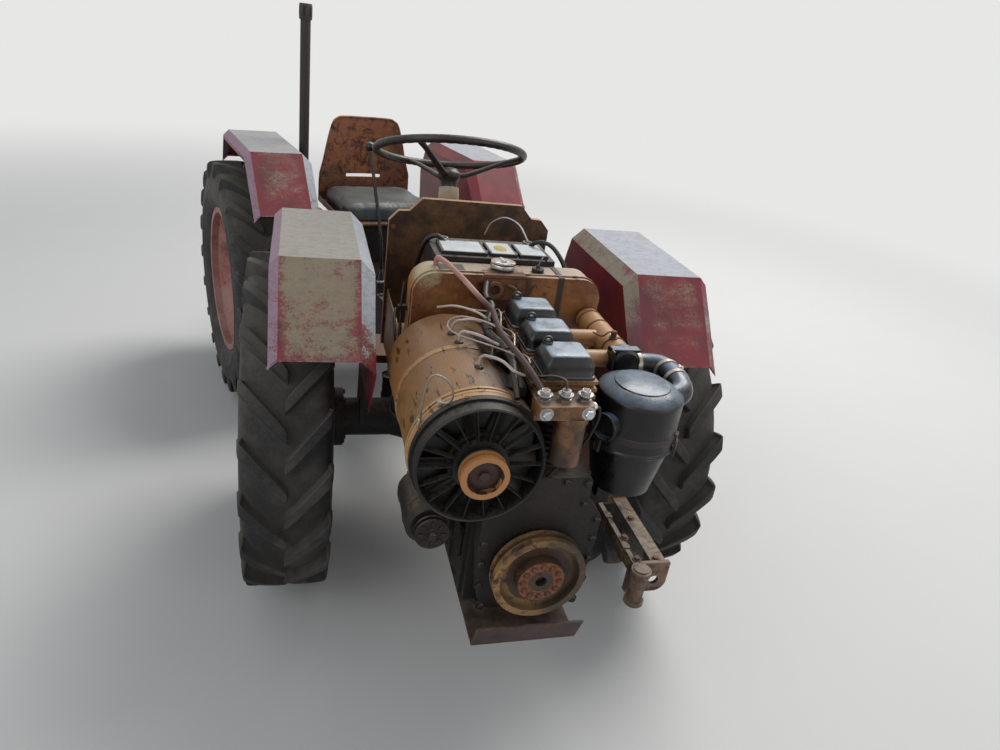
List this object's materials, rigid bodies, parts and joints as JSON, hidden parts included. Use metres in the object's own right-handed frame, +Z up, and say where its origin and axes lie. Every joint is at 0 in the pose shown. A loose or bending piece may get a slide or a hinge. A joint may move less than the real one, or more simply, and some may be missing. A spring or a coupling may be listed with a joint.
{
  "type": "articulated farm tractor",
  "caption": "Small farm tractor that steers by a pivot in its middle, with equal wheels, angular wings, a bare air-cooled engine with no bonnet, and a rear lift linkage.",
  "frame": {"origin": "on the ground, below the middle of the whole tractor's footprint box", "axes": "+Z up; the front half faces -Y, and +X is its left side"},
  "size_m": [1.727, 3.1402, 1.701],
  "materials": {
    "tyre": "dusty black rubber",
    "rim_red": "worn dull red",
    "wing_red": "faded red, worn through to pale undercoat",
    "body_orange": "chipped orange over rust",
    "engine_orange": "oily orange paint",
    "dark_iron": "oily dirt over cast iron",
    "rusty_steel": "rust",
    "black_gloss": "black enamel",
    "black_plastic": "dusty black",
    "seat_orange": "rusted orange paint",
    "seat_vinyl": "worn grey vinyl",
    "guard_red": "dark red",
    "bright_steel": "bare steel",
    "hose_pink": "faded red-brown hose"
  },
  "bodies": {
    "front_half": {"front_wings": "wing_red", "engine_block": "dark_iron", "cylinders": "engine_orange", "valve_covers": "black_gloss", "blower_housing": "black_gloss", "air_duct": "body_orange", "air_cleaner": "black_gloss", "intake_manifold": "body_orange", "fuel_filter": "engine_orange", "dynamo": "engine_orange", "front_carrier": "body_orange", "sump_guard": "guard_red", "fuel_tank": "body_orange", "battery": "black_plastic", "body_frame": "body_orange", "dash_panel": "body_orange", "steering_column": "black_gloss", "front_axle": "dark_iron", "front_gearbox": "dark_iron", "injector_pipes": "bright_steel", "fuel_hose": "hose_pink", "foot_plates": "rusty_steel"},
    "yoke": {"pivot_yoke": "dark_iron"},
    "rear_half": {"rear_axle": "dark_iron", "rear_gearbox": "dark_iron", "top_link_bracket": "rusty_steel", "rear_wings": "wing_red", "seat_pan": "seat_orange", "seat_cushion": "seat_vinyl", "seat_stand": "rusty_steel", "gear_lever": "black_gloss", "exhaust_stack": "rusty_steel", "drawbar": "rusty_steel"},
    "front_right_wheel": {"front_right_rim": "rim_red", "front_right_tyre": "tyre"},
    "front_left_wheel": {"front_left_rim": "rim_red", "front_left_tyre": "tyre"},
    "rear_right_wheel": {"rear_right_rim": "rim_red", "rear_right_tyre": "tyre"},
    "rear_left_wheel": {"rear_left_rim": "rim_red", "rear_left_tyre": "tyre"},
    "blower_wheel": {"blower_rotor": "rusty_steel"},
    "crank": {"crank_pulley": "rusty_steel"},
    "hand_wheel": {"steering_wheel": "black_plastic"},
    "ram": {"steering_ram": "dark_iron"},
    "ram_rod": {"steering_rod": "bright_steel"},
    "pto": {"pto_shaft": "bright_steel"},
    "arms": {"lift_arms": "dark_iron"},
    "rods": {"lift_rods": "rusty_steel"},
    "links": {"lower_links": "rusty_steel"}
  },
  "joints": [
    {"name": "articulation", "type": "hinge", "parent": "front_half", "child": "yoke", "pos_m": [0.16349, -0.09114, 0.52395], "axis": [0, 0, 1], "range_deg": [-44.5, 15.5]},
    {"name": "oscillation", "type": "hinge", "parent": "yoke", "child": "rear_half", "pos_m": [0.16349, -0.09114, 0.52395], "axis": [-0.2504, 0.9681, 0], "range_deg": [-8, 8]},
    {"name": "front_right_spin", "type": "hinge", "parent": "front_half", "child": "front_right_wheel", "pos_m": [-0.41151, -0.62114, 0.52395], "axis": [1, 0, 0], "continuous": true},
    {"name": "front_left_spin", "type": "hinge", "parent": "front_half", "child": "front_left_wheel", "pos_m": [0.73849, -0.62114, 0.52395], "axis": [1, 0, 0], "continuous": true},
    {"name": "rear_right_spin", "type": "hinge", "parent": "rear_half", "child": "rear_right_wheel", "pos_m": [-0.61854, 0.63622, 0.52395], "axis": [0.9681, 0.2504, 0], "continuous": true},
    {"name": "rear_left_spin", "type": "hinge", "parent": "rear_half", "child": "rear_left_wheel", "pos_m": [0.49483, 0.92416, 0.52395], "axis": [0.9681, 0.2504, 0], "continuous": true},
    {"name": "blower_spin", "type": "hinge", "parent": "front_half", "child": "blower_wheel", "pos_m": [-0.00851, -1.46714, 0.90895], "axis": [0, 1, 0], "continuous": true},
    {"name": "crank_spin", "type": "hinge", "parent": "front_half", "child": "crank", "pos_m": [0.16349, -1.50114, 0.61095], "axis": [0, 1, 0], "continuous": true},
    {"name": "steering", "type": "hinge", "parent": "front_half", "child": "hand_wheel", "pos_m": [0.10349, -0.25114, 1.32895], "axis": [0, 0.342, 0.9397], "range_deg": [-310, 890]},
    {"name": "ram_swing", "type": "hinge", "parent": "front_half", "child": "ram", "pos_m": [-0.06651, -0.40614, 0.52395], "axis": [0, 0, 1], "range_deg": [-0.5, 1.2]},
    {"name": "ram_slide", "type": "slide", "parent": "ram", "child": "ram_rod", "axis": [0.3255, 0.9456, 0], "range_m": [-0.0315, 0.0896]},
    {"name": "pto_spin", "type": "hinge", "parent": "rear_half", "child": "pto", "pos_m": [-0.10442, 0.94477, 0.55895], "axis": [-0.2504, 0.9681, 0], "continuous": true},
    {"name": "lift", "type": "hinge", "parent": "rear_half", "child": "arms", "pos_m": [-0.0894, 0.88668, 0.76395], "axis": [0.9681, 0.2504, 0], "range_deg": [-15, 35]},
    {"name": "link_lift", "type": "hinge", "parent": "rear_half", "child": "links", "pos_m": [-0.0894, 0.88668, 0.38395], "axis": [0.9681, 0.2504, 0], "range_deg": [-15, 35]},
    {"name": "rod_swing", "type": "hinge", "parent": "arms", "child": "rods", "pos_m": [-0.14949, 1.11904, 0.76395], "axis": [0.9681, 0.2504, 0], "range_deg": [-35, 15]}
  ],
  "couplings": [
    {"joint": "steering", "follows": "articulation", "ratio": -20},
    {"joint": "ram_swing", "follows": "articulation", "ratio": -0.02405},
    {"joint": "ram_slide", "follows": "articulation", "m_per_rad": -0.11492},
    {"joint": "link_lift", "follows": "lift", "ratio": 1},
    {"joint": "rod_swing", "follows": "lift", "ratio": -1}
  ]
}
